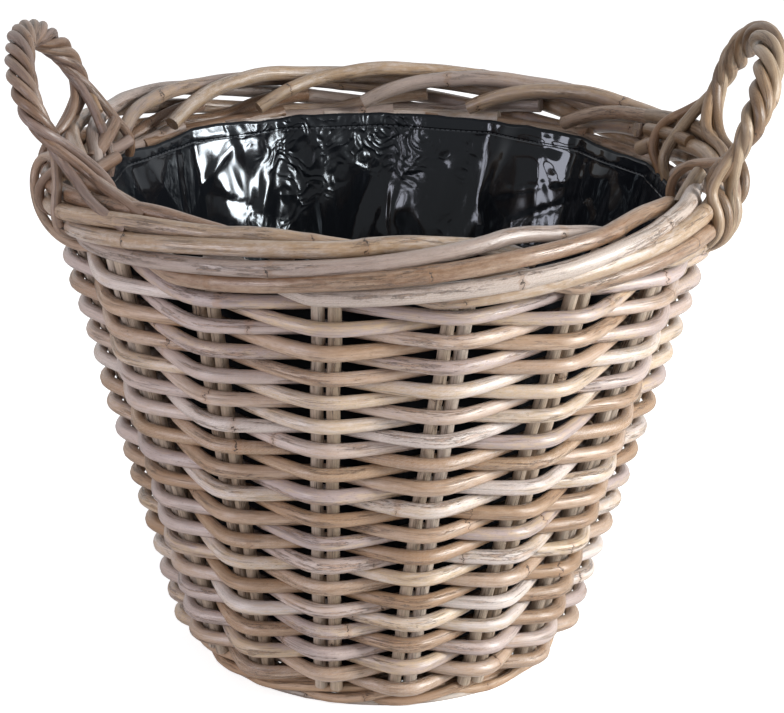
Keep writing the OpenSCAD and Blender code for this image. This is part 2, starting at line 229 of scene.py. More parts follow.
def cane_surface_group():
    """The skin of a cane: fibres, blotches, flaking bark, specks, splits and cracked knuckles."""
    tree = bpy.data.node_groups.new("cane_surface", "ShaderNodeTree")
    for name in ("Shade", "Blotch", "Fibre", "Bark", "Dirt", "Cracks", "Height"):
        tree.interface.new_socket(name=name, in_out="OUTPUT", socket_type="NodeSocketFloat")
    uv = place(tree, "ShaderNodeUVMap", uv_map="UVMap").outputs[0]
    parts = place(tree, "ShaderNodeSeparateXYZ", {0: uv})
    number, knuckle, past = (
        place(tree, "ShaderNodeAttribute", attribute_name=name).outputs["Fac"]
        for name in ("cane_number", "knuckle", "past_knuckle")
    )
    turn = calc(tree, "MULTIPLY", parts.outputs[1], 2 * math.pi)
    along = calc(tree, "MULTIPLY_ADD", number, CANE_SHIFT, parts.outputs[0])
    side = calc(tree, "COSINE", turn)
    rise = calc(tree, "SINE", turn)

    def grain(per_metre, round_it, detail=2.0, roughness=0.5):
        """Noise with so many grains for each metre of cane and about so many round it."""
        spot = place(tree, "ShaderNodeCombineXYZ", {
            0: calc(tree, "MULTIPLY", along, per_metre),
            1: calc(tree, "MULTIPLY", side, round_it / 6.0),
            2: calc(tree, "MULTIPLY", rise, round_it / 6.0),
        }).outputs[0]
        return place(
            tree, "ShaderNodeTexNoise",
            {"Vector": spot, "Scale": 1.0, "Detail": detail, "Roughness": roughness},
        ).outputs["Fac"]

    def lines(value, width):
        """Thin lines where the noise passes through its middle."""
        off = calc(tree, "ABSOLUTE", calc(tree, "SUBTRACT", value, 0.5))
        return fade(tree, off, width * 0.35, width, 1, 0)

    shade = place(tree, "ShaderNodeTexWhiteNoise", {"W": number}, noise_dimensions="1D")
    blotch = calc(tree, "MULTIPLY_ADD", grain(15, 3, 3.0, 0.6), 0.60,
                  calc(tree, "MULTIPLY", grain(150, 14, 2.0, 0.6), 0.40))
    fibre = calc(tree, "MULTIPLY_ADD", grain(16, 44, 3.0, 0.6), 0.75,
                 calc(tree, "MULTIPLY", grain(60, 90, 1.0), 0.25))
    splits = calc(tree, "MULTIPLY", lines(grain(11, 26, 1.0), 0.035),
                  fade(tree, grain(24, 7), 0.52, 0.62))
    worn = fade(tree, grain(12, 4, 1.0), 0.52, 0.63)
    flake = calc(tree, "MULTIPLY", fade(tree, grain(48, 15, 4.0, 0.7), 0.55, 0.60), worn)
    near_flake = calc(tree, "SUBTRACT", grain(48, 15, 4.0, 0.7), 0.055)
    edge = calc(tree, "MULTIPLY", lines(near_flake, 0.03), worn)
    speck = calc(tree, "MULTIPLY", fade(tree, grain(520, 60, 1.0), 0.64, 0.72),
                 fade(tree, grain(20, 5), 0.44, 0.62, 0.25, 1.0))
    zigzag = calc(tree, "MULTIPLY_ADD", grain(260, 11, 2.0, 0.6), 0.0095, -0.0047)
    off = calc(tree, "ABSOLUTE", calc(tree, "ADD", past, zigzag))
    near = calc(tree, "LESS_THAN", knuckle, 0.009)
    part = fade(tree, grain(70, 4, 1.0), 0.40, 0.48)
    crack = calc(tree, "MULTIPLY", fade(tree, off, 0.0002, 0.00065, 1, 0),
                 calc(tree, "MULTIPLY", near, part))
    halo = calc(tree, "MULTIPLY", fade(tree, off, 0.0012, 0.0036, 1, 0), near)

    bark = calc(tree, "ADD", flake, calc(tree, "MULTIPLY", halo, 0.75), clamp=True)
    dirt = calc(tree, "MAXIMUM", crack, calc(tree, "MULTIPLY", speck, 0.55))
    dirt = calc(tree, "MAXIMUM", dirt, calc(tree, "MULTIPLY", edge, 0.7))
    height = calc(tree, "MULTIPLY_ADD", fibre, 0.8, calc(tree, "MULTIPLY", blotch, 0.5))
    height = calc(tree, "MULTIPLY_ADD", calc(tree, "MAXIMUM", dirt, splits), -0.7, height)
    height = calc(tree, "MULTIPLY_ADD", flake, -0.25, height)
    out = place(tree, "NodeGroupOutput")
    for name, socket in (
        ("Shade", shade.outputs["Value"]), ("Blotch", blotch), ("Fibre", fibre),
        ("Bark", bark), ("Dirt", dirt), ("Cracks", splits), ("Height", height),
    ):
        tree.links.new(socket, out.inputs[name])
    return tree


def blend_colours(tree, share, first, second, mode="MIX"):
    """Two colours mixed by a share."""
    made = place(tree, "ShaderNodeMix", {0: share, 6: first, 7: second},
                 data_type="RGBA", blend_type=mode, clamp_factor=True)
    return made.outputs[2]


def blank_material(name):
    """A new material, with its empty node tree."""
    material = bpy.data.materials.new(name)
    material.use_nodes = True
    material.node_tree.nodes.clear()
    return material, material.node_tree


def cane_material(name, shades, bark, dirt, roughness, fibre_depth=0.24, cracks=0.4):
    """Cane whose colour runs through the shades from cane to cane and along each cane."""
    material, tree = blank_material(name)
    skin = place(tree, "ShaderNodeGroup", node_tree=surface_of_cane)
    pick = calc(tree, "MULTIPLY_ADD", skin.outputs["Blotch"], 0.95,
                calc(tree, "MULTIPLY_ADD", skin.outputs["Shade"], 1.15, -0.55), clamp=True)
    ramp = place(tree, "ShaderNodeValToRGB", {0: pick})
    stops = ramp.color_ramp.elements
    while len(stops) < len(shades):
        stops.new(0.5)
    for i, colour in enumerate(shades):
        stops[i].position = i / (len(shades) - 1)
        stops[i].color = colour
    colour = ramp.outputs[0]
    streak = fade(tree, skin.outputs["Fibre"], 0.3, 0.7, 1 - fibre_depth, 1.06)
    grey = place(tree, "ShaderNodeCombineColor", {0: streak, 1: streak, 2: streak}).outputs[0]
    colour = blend_colours(tree, 1.0, colour, grey, "MULTIPLY")
    colour = blend_colours(tree, calc(tree, "MULTIPLY", skin.outputs["Bark"], 0.5), colour, bark)
    grime = calc(tree, "MAXIMUM", skin.outputs["Dirt"],
                 calc(tree, "MULTIPLY", skin.outputs["Cracks"], cracks))
    colour = blend_colours(tree, grime, colour, dirt)
    gloss = fade(tree, skin.outputs["Fibre"], 0.3, 0.7, roughness + 0.14, roughness - 0.05)
    bump = place(tree, "ShaderNodeBump",
                 {"Strength": 1.0, "Distance": CANE_RELIEF, "Height": skin.outputs["Height"]})
    shader = place(tree, "ShaderNodeBsdfPrincipled", {
        "Base Color": colour, "Roughness": gloss, "Normal": bump.outputs[0],
        "Specular IOR Level": CANE_SHINE,
    })
    place(tree, "ShaderNodeOutputMaterial", {0: shader.outputs[0]})
    return material


surface_of_cane = cane_surface_group()
hoop_low, hoop_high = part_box(HOOP_NODE)
hoop_r, hoop_h = hoop_high.x - HOOP_W / 2 - HOOP_INSET, hoop_high.z - hoop_low.z
hoop_profile = bpy.data.curves.new("hoop_profile", "CURVE")
hoop_profile.dimensions = "2D"
outline = hoop_profile.splines.new("POLY")
outline_points = []
for corner_x, corner_y, start in ((1, 1, 0), (-1, 1, 90), (-1, -1, 180), (1, -1, 270)):
    for step in range(HOOP_CORNER_STEPS + 1):
        a = start + 90 * step / HOOP_CORNER_STEPS
        outline_points.append((
            corner_x * (HOOP_W / 2 - HOOP_ROUND) + HOOP_ROUND * cosine(a),
            corner_y * (hoop_h / 2 - HOOP_ROUND) + HOOP_ROUND * sine(a),
        ))
outline.points.add(len(outline_points) - 1)
for spot, (x, y) in zip(outline.points, outline_points):
    spot.co = (x, y, 0, 1)
outline.use_cyclic_u = True
hoop_section = bpy.data.objects.new("hoop_profile", hoop_profile)
chance = random.Random(11)
bm = bmesh.new()
hoop_line = [on_circle(hoop_r, 360 * i / HOOP_STATIONS, hoop_h / 2) for i in range(HOOP_STATIONS)]
lay_cane(bm, hoop_line, 1.0, chance, closed=True, profile=hoop_section, knuckle_gap=(0.2, 0.3))
hoop_cane = cane_material(
    "hoop_cane", [srgb(196, 184, 174), srgb(182, 164, 150), srgb(206, 195, 184)],
    srgb(150, 120, 92), srgb(70, 52, 40), roughness=0.6,
)
finish_canes(bm, "foot_hoop_cane", HOOP_NODE, slot="hoop_cane", material=hoop_cane)
bpy.data.objects.remove(hoop_section)

# ------------------------------------------------------------
# Foot border: three canes that keep their brown bark, twisted loosely round one another over
# the hoop and nailed down into it. They hide it from the outside.

FOOT_NODE = "foot_border"
FOOT_RING_R, FOOT_RING_Z = 0.1190, 0.0078
FOOT_WIND_R, FOOT_CANE_R = 0.0043, 0.0032
FOOT_CANES, FOOT_TURNS, FOOT_STATIONS = 3, 5, 240
FOOT_WANDER, FOOT_LOOSE = 24, 0.05

foot_cane = cane_material(
    "foot_cane",
    [srgb(158, 122, 90), srgb(180, 146, 114), srgb(188, 158, 132), srgb(166, 130, 100)],
    srgb(140, 104, 72), srgb(62, 42, 28), roughness=0.40,
)
chance = random.Random(21)
bm = bmesh.new()
for k in range(FOOT_CANES):
    phase = chance.uniform(0, 360)
    foot_line = []
    for i in range(FOOT_STATIONS):
        angle = 360 * i / FOOT_STATIONS
        turn = (360 * k / FOOT_CANES + FOOT_TURNS * angle
                + FOOT_WANDER * sine(3 * angle + phase))
        loose = FOOT_WIND_R * (1 + FOOT_LOOSE * sine(5 * angle + phase))
        foot_line.append(on_circle(FOOT_RING_R + loose * cosine(turn), angle,
                                   FOOT_RING_Z + loose * sine(turn)))
    lay_cane(bm, foot_line, FOOT_CANE_R, chance, closed=True)
finish_canes(bm, "foot_border_canes", FOOT_NODE, slot="foot_cane", material=foot_cane)

# ------------------------------------------------------------
# Base sticks: eight peeled sticks, crossed four over four at the middle of the base and fanned
# out, so that one end lies under each pair of stakes.

STICKS_NODE = "base_sticks"
LAYER_STICKS, STICK_SPACING, STICK_STATION = 4, 0.0076, 0.004
STICK_R, STICK_Z, CROSSING_STEP = 0.0034, 0.0094, 0.0072
CROSS_HALF, FAN_R, STICK_END_R = 0.0187, 0.043, 0.1112
FAN_MIDDLE_PAIR = 2.5
PAIRS, PAIR_STEP = 16, 22.5
FIRST_PAIR_ANGLE, STAKE_TURN_PER_M = -14.4, 16.42


def pair_angle(pair, z):
    """The angle of a pair of stakes at height z; the pairs lean round the basket."""
    return FIRST_PAIR_ANGLE + PAIR_STEP * pair + STAKE_TURN_PER_M * z


base_cane = cane_material(
    "base_cane", [srgb(176, 150, 126), srgb(196, 174, 154), srgb(160, 132, 106)],
    srgb(132, 98, 68), srgb(58, 42, 30), roughness=0.55,
)
chance = random.Random(31)
bm = bmesh.new()
for layer in (0, 1):
    for s in range(LAYER_STICKS):
        beside = s - (LAYER_STICKS - 1) / 2
        spoke = math.radians(beside * PAIR_STEP)
        half = [
            (CROSS_HALF, beside * STICK_SPACING, STICK_Z + (layer - 0.5) * CROSSING_STEP),
            (FAN_R, FAN_R * math.tan(spoke), STICK_Z),
            (STICK_END_R * math.cos(spoke), STICK_END_R * math.sin(spoke), STICK_Z),
        ]
        turn = Matrix.Rotation(
            math.radians(pair_angle(FAN_MIDDLE_PAIR, 0) - 90 + 90 * layer), 3, "Z")
        line = [turn @ Vector((-x, y, z)) for x, y, z in reversed(half)]
        line += [turn @ Vector(spot) for spot in half]
        lay_cane(bm, smooth_path(line, STICK_STATION), STICK_R, chance, rounds=3)
finish_canes(bm, "base_stick_canes", STICKS_NODE, slot="base_cane", material=base_cane)

# ------------------------------------------------------------
# Base weave: thin canes woven over one stick and under the next, round after round, from near
# the crossing out to the hoop.

BASE_WEAVE_NODE = "base_weave"
BASE_ROUNDS, BASE_FIRST_R, BASE_STEP = 10, 0.048, 0.0062
BASE_ROD_R, BASE_AMP, BASE_ROUNDED = 0.00255, 0.0061, 0.25
BASE_STATION, BASE_WANDER = 0.0034, 0.0005


def weave_swing(position):
    """How far a woven cane lies to one side, from -1 to 1, where whole numbers are stakes."""
    c = math.cos(math.pi * position)
    return (1 + BASE_ROUNDED) * c / (1 + BASE_ROUNDED * c * c)


chance = random.Random(41)
bm = bmesh.new()
for n in range(BASE_ROUNDS):
    phase = chance.uniform(0, 360)
    radius = BASE_FIRST_R + n * BASE_STEP
    line = []
    stations = round(radius * 2 * math.pi / BASE_STATION)
    for i in range(stations):
        at_pair = PAIRS * i / stations
        wander = BASE_WANDER * sine(3 * PAIR_STEP * at_pair + phase)
        line.append(on_circle(radius + wander, pair_angle(at_pair, 0),
                              STICK_Z + BASE_AMP * weave_swing(at_pair + n)))
    lay_cane(bm, line, BASE_ROD_R, chance, closed=True, rounds=2)
finish_canes(bm, "base_weave_canes", BASE_WEAVE_NODE, slot="base_cane", material=base_cane)

# ------------------------------------------------------------
# Stakes: sixteen pairs of straight peeled canes that stand in the foot and carry the weave.
# Their cut ends show below the lowest round, where the saw has left pale splinters.

STAKE_NODES = [f"stake_pair_{p + 1:02d}" for p in range(PAIRS)]
STAKE_R, PAIR_HALF = 0.0045, 0.0052
STAKE_LOW_Z, STAKE_TOP_Z = 0.0142, 0.3185
STAKE_CIRCLE_R, STAKE_SLOPE = 0.1205, 0.2806
STAKE_STATIONS, STAKE_WANDER, STAKE_WAVES = 48, 0.0004, 5200
SPLINTERS, SPLINTER_ROOT_H, SPLINTER_RADII = 6, 0.003, (0.0011, 0.0009, 0.0002)


def stake_radius(z):
    """The radius of the circle of stakes at height z."""
    return STAKE_CIRCLE_R + STAKE_SLOPE * z


stake_cane = cane_material(
    "stake_cane",
    [srgb(170, 146, 120), srgb(192, 173, 153), srgb(178, 157, 137), srgb(200, 185, 171)],
    srgb(136, 104, 76), srgb(58, 42, 30), roughness=0.5, fibre_depth=0.42, cracks=1.0,
)
chance = random.Random(51)
for p, node in enumerate(STAKE_NODES):
    bm = bmesh.new()
    for side in (-1, 1):
        phase = chance.uniform(0, 360)
        low_z = STAKE_LOW_Z + chance.uniform(-0.001, 0.0012)
        line = []
        for i in range(STAKE_STATIONS + 1):
            z = low_z + (STAKE_TOP_Z - low_z) * i / STAKE_STATIONS
            wander = STAKE_WANDER * sine(phase + STAKE_WAVES * z)
            beside = math.degrees((PAIR_HALF * side + wander) / stake_radius(z))
            line.append(on_circle(stake_radius(z), pair_angle(p, z) + beside, z))
        lay_cane(bm, line, STAKE_R + chance.uniform(-0.0003, 0.0002), chance, upright=False)
        foot = Vector(line[0])
        for _ in range(SPLINTERS):
            spread = chance.uniform(0, 2 * math.pi)
            out = Vector((math.cos(spread), math.sin(spread), 0)) * chance.uniform(0.001, 0.0034)
            tip = foot + out * 1.12 + Vector((0, 0, -chance.uniform(0.0008, 0.0026)))
            root = foot + out + Vector((0, 0, SPLINTER_ROOT_H))
            lay_cane(bm, [root, (root + tip) / 2 + out * 0.05, tip], SPLINTER_RADII, chance,
                     rounds=0)
    finish_canes(bm, f"stake_canes_{p + 1:02d}", node, slot="stake_cane", material=stake_cane)

# ------------------------------------------------------------
# Wall weave: thirty-three rounds of thick peeled cane, each outside one stake pair and inside the
# next. A round takes two canes, which meet behind stakes. The lowest course is a single round.

COURSES = 17
COURSE_NODES = [f"weave_course_{c + 1:02d}" for c in range(COURSES)]
FIRST_ROW_Z, ROW_STEP = 0.0213, 0.0089
ROD_R, WEAVE_AMP, ROD_DROP = 0.00485, 0.0102, 0.0013
BEND_LENGTH, BEND_KEEN = 0.0052, 13
ROW_SPACING, CUT_GAP = 0.0034, 0.0006
ROW_WANDER, ROD_BULGE, ROD_PINCH = (0.00045, 0.0004), 0.04, 0.06


def wall_swing(position, z):
    """How far a stiff cane lies to one side, from -1 to 1: it runs straight from stake to stake
    and bends only round the stakes."""
    steep = 1 / (1 - BEND_LENGTH / (stake_radius(z) * math.radians(PAIR_STEP / 2)))
    slope = steep * (1 - 2 * abs((position + 1) % 2 - 1))
    reach = (1 + abs(slope) ** BEND_KEEN) ** (1 / BEND_KEEN)
    flat = steep / (1 + steep ** BEND_KEEN) ** (1 / BEND_KEEN)
    return slope / reach / flat


wall_cane = cane_material(
    "wall_cane",
    [srgb(156, 124, 95), srgb(180, 153, 131), srgb(192, 174, 167), srgb(171, 153, 149),
     srgb(194, 168, 137), srgb(208, 195, 188)],
    srgb(164, 126, 96), srgb(62, 43, 30), roughness=0.29,
)
chance = random.Random(61)
for c, node in enumerate(COURSE_NODES):
    bm = bmesh.new()
    for row in range(max(0, 2 * c - 1), 2 * c + 1):
        row_z = FIRST_ROW_Z + ROW_STEP * row
        first = chance.randrange(PAIRS // 2) * 2 + row % 2
        reach = chance.choice((6, 8, 10))
        phases = [chance.uniform(0, 360) for _ in range(3)]
        thick = ROD_R + chance.uniform(-0.00035, 0.0003)
        for start, span in ((first, reach), (first + reach, PAIRS - reach)):
            gap = CUT_GAP / stake_radius(row_z) / math.radians(PAIR_STEP)
            count = round(span * math.radians(PAIR_STEP) * stake_radius(row_z) / ROW_SPACING)
            line, radii = [], []
            for i in range(count + 1):
                at_pair = start + gap + (span - 2 * gap) * i / count
                angle = PAIR_STEP * at_pair
                rise = (ROW_WANDER[0] * sine(3 * angle + phases[0])
                        + ROW_WANDER[1] * sine(2 * angle + phases[1]))
                bulge = 1 + ROD_BULGE * sine(5 * angle + phases[2])
                z = row_z + rise
                out = -bulge * wall_swing(at_pair + row, z)
                line.append(on_circle(stake_radius(z) + WEAVE_AMP * out, pair_angle(at_pair, z),
                                      z - ROD_DROP * out))
                radii.append(thick * (1 - ROD_PINCH * abs(math.sin(math.pi * at_pair)) ** 4))
            lay_cane(bm, line, radii, chance)
    finish_canes(bm, f"wall_canes_{c + 1:02d}", node, slot="wall_cane", material=wall_cane)

# ------------------------------------------------------------
# Rim: every pair of stakes sends a cane out into the border. It comes out under its neighbours,
# climbs across the outside, and dives over the top to a blunt cut inside, like a thick rope.
# Shorter canes are pushed in along the inside, below those cuts.

RIM_NODE = "rim_border"
RIM_R, RIM_Z = 0.2145, 0.3328
RIM_CANE_R, INNER_CANE_R = 0.0055, 0.0054
FLAT_SIDE_ANGLE, FLAT_SIDE_W, FLAT_SIDE_DEPTH = -88, 26, 0.008
RIM_SPACING, RIM_TAPER = 0.0034, 0.10
# A cane sways and bulges only where it is free: degrees to its start, to its end, and the fade
FREE_START, FREE_END, FREE_FADE = 12, 96, 20
RIM_SWAY, HUMP_W, HUMP_SET = 7.0, 17, 0.0005
INNER_BACK, INNER_SHIFT, INNER_SWAY = 12, 3, 2.5
# Degrees round the basket, reach from the middle of the border, and degrees up round it
RIM_ROUTE = (
    (-22, 0.004, 14), (-16, 0.0042, -22), (-11, 0.0078, -50), (-6.5, 0.013, -61),
    (-2, 0.0158, -61), (10, 0.016, -39), (24, 0.0161, -11), (38, 0.0164, 15), (52, 0.0168, 41),
    (64, 0.0162, 63), (71, 0.0164, 79), (75.5, 0.018, 91), (80, 0.0186, 100), (84, 0.0179, 108),
    (88, 0.0171, 116), (92, 0.0165, 127), (96, 0.016, 143), (100, 0.0161, 163),
    (104, 0.0169, 187),
)
INNER_ROUTE = (
    (0, 0.012, -118), (5, 0.014, -117), (12, 0.0152, -117), (22, 0.0156, -117),
    (30, 0.0166, -121), (36, 0.0172, -125),
)


def rim_spot(angle, reach, wind):
    """A point of the border: its reach from the border's middle, at so many degrees up from the
    outside. The border is drawn in a little beside the left handle."""
    off = (angle - FLAT_SIDE_ANGLE + 180) % 360 - 180
    ring = RIM_R - FLAT_SIDE_DEPTH * math.exp(-((off / FLAT_SIDE_W) ** 2))
    return on_circle(ring + reach * cosine(wind), angle, RIM_Z + reach * sine(wind))


rim_cane = cane_material(
    "rim_cane",
    [srgb(126, 94, 70), srgb(160, 134, 112), srgb(166, 149, 140), srgb(146, 128, 120),
     srgb(164, 137, 108), srgb(188, 173, 163)],
    srgb(134, 100, 70), srgb(50, 36, 25), roughness=0.29, cracks=0.5,
)
chance = random.Random(71)
bm = bmesh.new()
for p in range(PAIRS):
    phase, proud_at = chance.uniform(0, 360), chance.uniform(14, 74)
    proud, lag = chance.uniform(0.0004, 0.0036), chance.uniform(-1.6, 1.6)
    rim_line = []
    for turned, reach, wind in RIM_ROUTE:
        free = (min(1, max(0, turned / FREE_START))
                * min(1, max(0, (FREE_END - turned) / FREE_FADE)))
        hump = proud * math.exp(-(((turned - proud_at) / HUMP_W) ** 2)) - HUMP_SET
        sway = RIM_SWAY * sine(3.8 * turned + phase)
        rim_line.append(rim_spot(pair_angle(p, RIM_Z) + turned + lag, reach + free * hump,
                                 wind + free * sway))
    line = smooth_path(rim_line, RIM_SPACING)
    taper = 1 - RIM_TAPER * np.clip(np.linspace(-3, 1, len(line)), 0, 1)
    lay_cane(bm, line, (RIM_CANE_R + chance.uniform(-0.0006, 0.0005)) * taper, chance, rounds=5,
             upright=False, knuckle_gap=(0.09, 0.20))
    phase = chance.uniform(0, 360)
    inner_line = [
        rim_spot(pair_angle(p, RIM_Z) - INNER_BACK + turned + INNER_SHIFT * sine(phase), reach,
                 wind + INNER_SWAY * sine(5 * turned + phase))
        for turned, reach, wind in INNER_ROUTE
    ]
    lay_cane(bm, smooth_path(inner_line, RIM_SPACING),
             INNER_CANE_R + chance.uniform(-0.0005, 0.0002), chance, upright=False)
finish_canes(bm, "rim_canes", RIM_NODE, slot="rim_cane", material=rim_cane)

# ------------------------------------------------------------
# Handle bows: one bare cane bent to an arch inside each handle, the core that the strands are
# wound round. Its feet are pushed down into the border and held by its canes.

HANDLES = {
    "left": {"side": -1, "seat_x": 0.194, "lean": 33, "top_z": 0.427, "front_bow": 0.0045,
             "strands": 5, "strand_r": 0.0032, "wind_r": 0.0069, "pitch": 0.088,
             "twist_ease": 0, "seed": 83},
    "right": {"side": 1, "seat_x": 0.214, "lean": 23, "top_z": 0.4355, "front_bow": 0.0,
              "strands": 4, "strand_r": 0.0039, "wind_r": 0.0069, "pitch": 0.078,
              "twist_ease": 40, "seed": 97},
}
HANDLE_FORWARD, HANDLE_HALF_W, HANDLE_TUCK = 0.025, 0.078, 32
HANDLE_FOOT_Z, BOW_R = 0.3612, 0.0028
FRONT_BOW_AT, FRONT_BOW_W = 16, 34
ARCH_STATIONS, ARCH_CUT, ARCH_STRIDE = 120, 6, 4


def arch_point(handle, t):
    """The middle of a handle's arch at an angle t, from the front leg over to the back leg."""
    rise = (handle["top_z"] - HANDLE_FOOT_Z) / (1 + sine(HANDLE_TUCK))
    z = handle["top_z"] - rise * (1 - sine(t))
    out = handle["seat_x"] + (z - HANDLE_FOOT_Z) * math.tan(math.radians(handle["lean"]))
    out += handle["front_bow"] * math.exp(-(((t - FRONT_BOW_AT) / FRONT_BOW_W) ** 2))
    return Vector((handle["side"] * out, -HANDLE_FORWARD - HANDLE_HALF_W * cosine(t), z))


def arch_path(handle):
    """The middle of a handle's arch from foot to foot."""
    span = 180 + 2 * HANDLE_TUCK
    return [arch_point(handle, -HANDLE_TUCK + span * i / ARCH_STATIONS)
            for i in range(ARCH_STATIONS + 1)]


bow_cane = cane_material(
    "bow_cane", [srgb(140, 108, 80), srgb(162, 132, 104)], srgb(178, 152, 126), srgb(54, 38, 26),
    roughness=0.5,
)
for name, handle in HANDLES.items():
    bm = bmesh.new()
    lay_cane(bm, arch_path(handle), BOW_R, random.Random(handle["seed"]), rounds=2,
             upright=False)
    finish_canes(bm, f"{name}_bow_cane", f"{name}_handle_bow", slot="bow_cane", material=bow_cane)

# ------------------------------------------------------------
# Handle strands: canes twisted round each bow like a rope, five thin ones on the left and four
# thicker ones on the right. Their tails spread at the feet and are tucked over, outside and
# inside the border, bound there by thin brown canes, and cut stubs stand beside them.

STRAND_SPACING, TWIST_WANDER, WIND_LOOSE = 0.0028, 6, 0.06
EASE_ROUNDS, JOINT_ROUNDS, JOINT_REACH = 9, 140, 10.0
# Where the tails go, from the outer strand round the bundle: degrees round the basket, reach from
# the middle of the border, and degrees up round it
TAILS = {
    ("left", 0): (
        ((-64.5, 0.0255, 62), (-63.5, 0.0252, 34), (-63, 0.0246, 4), (-63, 0.0225, -32),
         (-63, 0.017, -62)),
        ((-61, 0.0245, 70), (-57, 0.024, 58), (-52.5, 0.023, 50), (-48, 0.02, 42),
         (-44, 0.016, 34)),
        ((-61.5, 0.024, 92), (-57, 0.0236, 88), (-52, 0.0228, 86), (-47, 0.02, 84),
         (-43, 0.016, 82)),
        ((-66.5, 0.0245, 116), (-67, 0.024, 142), (-67.5, 0.0232, 170), (-68, 0.0225, 200)),
        ((-69.5, 0.025, 78), (-72.5, 0.0248, 46), (-74, 0.0246, 14), (-75, 0.0236, -22),
         (-75, 0.018, -56)),
    ),
    ("left", 1): (
        ((-101, 0.025, 58), (-100, 0.0246, 28), (-99, 0.0242, -4), (-98, 0.0205, -42)),
        ((-106, 0.025, 62), (-108, 0.0246, 32), (-110, 0.0242, 2), (-111, 0.0205, -42)),
        ((-105, 0.0262, 112), (-108.5, 0.0266, 145), (-110, 0.0256, 176), (-110.5, 0.024, 199)),
        ((-99, 0.0245, 116), (-97.5, 0.0242, 140), (-96, 0.0236, 170), (-95.5, 0.0225, 204)),
        ((-97, 0.0252, 78), (-94.5, 0.0248, 50), (-93, 0.0246, 18), (-92.5, 0.0236, -20),
         (-92.5, 0.018, -52)),
    ),
    ("right", 0): (
        ((68.5, 0.0275, 52), (69, 0.0268, 24), (68.6, 0.0262, -4), (67.6, 0.0242, -34),
         (66.8, 0.0205, -62)),
        ((71.5, 0.0265, 60), (72, 0.026, 28), (71.2, 0.0256, -2), (69.6, 0.0235, -34),
         (68.4, 0.019, -60)),
        ((67.8, 0.027, 86), (66.6, 0.0266, 54), (66, 0.0262, 22), (65.8, 0.0252, -10),
         (65.8, 0.0225, -42), (65.8, 0.017, -64)),
        ((64.6, 0.0262, 76), (63.6, 0.0258, 50), (63.2, 0.025, 22), (63.4, 0.0232, -8),
         (64, 0.019, -38)),
    ),
    ("right", 1): (
        ((98, 0.026, 72), (94, 0.0262, 58), (90, 0.026, 42), (87, 0.0254, 18),
         (86, 0.0235, -16), (86, 0.018, -48)),
        ((98.5, 0.0262, 96), (95, 0.026, 84), (91, 0.0254, 74), (87, 0.024, 64),
         (83.5, 0.0205, 56)),
        ((101.5, 0.0258, 122), (101.5, 0.0254, 150), (101, 0.0243, 176), (100.5, 0.0203, 201),
         (100.5, 0.024, 216)),
        ((104, 0.0258, 58), (104.5, 0.0254, 28), (104, 0.0246, -2), (103, 0.0205, -44)),
    ),
}
# Thin bindings: where each leaves its handle's arch, in degrees over the arch and metres out of
# it, its half thickness, and its way round the border
BINDINGS = (
    ("left", -26, 0.004, 0.0031, (
        (-80, 0.0262, 48), (-84, 0.0258, 18), (-83, 0.0262, -12), (-78, 0.0275, -38),
        (-71, 0.027, -58), (-64, 0.0245, -74), (-59, 0.02, -92))),
    ("right", 194, -0.004, 0.0034, (
        (107, 0.03, 100), (108, 0.0285, 122), (107.5, 0.0264, 150), (106.5, 0.0243, 174),
        (105, 0.02, 200), (104.5, 0.025, 221))),
    ("right", -14, -0.004, 0.0033, (
        (73, 0.03, 98), (75, 0.0285, 118), (76.5, 0.0262, 145), (77, 0.0243, 174),
        (77, 0.02, 200), (77, 0.025, 221))),
)
# Cut stubs: their half thickness and their way round the border
STUBS = (
    (0.005, ((-90, 0.013, 150), (-97, 0.022, 142), (-103.5, 0.0285, 134))),
    (0.0046, ((-83, 0.012, 160), (-88, 0.021, 166), (-92, 0.028, 166))),
    (0.0042, ((-98, 0.012, 170), (-103, 0.0215, 172), (-107, 0.0275, 168))),
    (0.005, ((63, 0.012, 110), (67.5, 0.02, 100), (71, 0.0262, 92))),
    (0.0052, ((118, 0.0205, 112), (110, 0.0238, 100), (102, 0.025, 88), (96.5, 0.0244, 72),
              (94.5, 0.0215, 54))),
    (0.0046, ((114, 0.021, 140), (107, 0.0235, 132), (101, 0.0235, 122), (97.5, 0.0215, 112))),
)

# The canes' own browns, with painted light: the right handle's palette is lighter and yellower
# for the key lamp that shines on it, and the left handle's is darker for the dimmer fill lamp.
HANDLE_SHADES_AND_PAINTED_LIGHT = {
    "left": [srgb(86, 59, 42), srgb(122, 94, 73), srgb(142, 120, 110), srgb(114, 94, 88),
             srgb(152, 126, 98)],
    "right": [srgb(98, 71, 46), srgb(140, 112, 84), srgb(164, 142, 117), srgb(126, 104, 84),
              srgb(174, 150, 120)],
}
binding_cane = cane_material(
    "binding_cane", [srgb(120, 86, 56), srgb(150, 116, 84), srgb(158, 132, 112)],
    srgb(176, 144, 112), srgb(48, 32, 22), roughness=0.40, cracks=0.5,
)


def relax(line, joints=()):
    """The line with its sharp turns eased, most of all near the joints, its two ends kept."""
    line = np.array(line)
    ease = np.zeros(len(line))
    for joint in joints:
        off = np.linalg.norm(line - np.array(joint), axis=1)
        ease += np.exp(-((np.arange(len(line)) - off.argmin()) / JOINT_REACH) ** 2)
    ease = np.minimum(ease, 1)[1:-1, None]
    for i in range(EASE_ROUNDS + JOINT_ROUNDS * bool(joints)):
        share = ease if i >= EASE_ROUNDS else 1.0
        line[1:-1] += share * ((line[:-2] + line[2:]) / 2 - line[1:-1]) / 2
    return line


